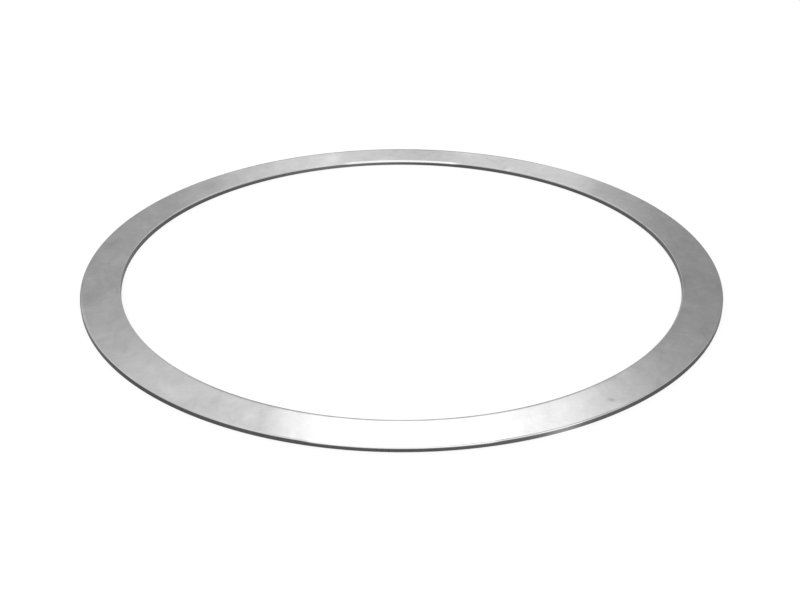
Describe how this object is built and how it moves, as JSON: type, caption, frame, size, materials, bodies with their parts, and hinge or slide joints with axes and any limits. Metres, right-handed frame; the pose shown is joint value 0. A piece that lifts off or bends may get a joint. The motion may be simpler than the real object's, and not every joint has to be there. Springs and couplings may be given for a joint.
{
  "type": "shim ring",
  "caption": "Thin flat steel shim ring with a wide bore, a narrow band and slightly rounded edges, for taking up axial play beside a bearing.",
  "frame": {"origin": "on the ring's axis, in the plane of its lower face", "axes": "+Z along the ring's axis, from the lower face to the upper face; X and Y lie in the lower face and are interchangeable"},
  "size_m": [0.114, 0.114, 0.001],
  "materials": {
    "cold_rolled_steel": "bright cold-rolled faces with faint handling smudges, darker and duller along the cut bore and rim walls"
  },
  "bodies": {
    "root": {"shim_ring": "cold_rolled_steel"}
  },
  "joints": []
}
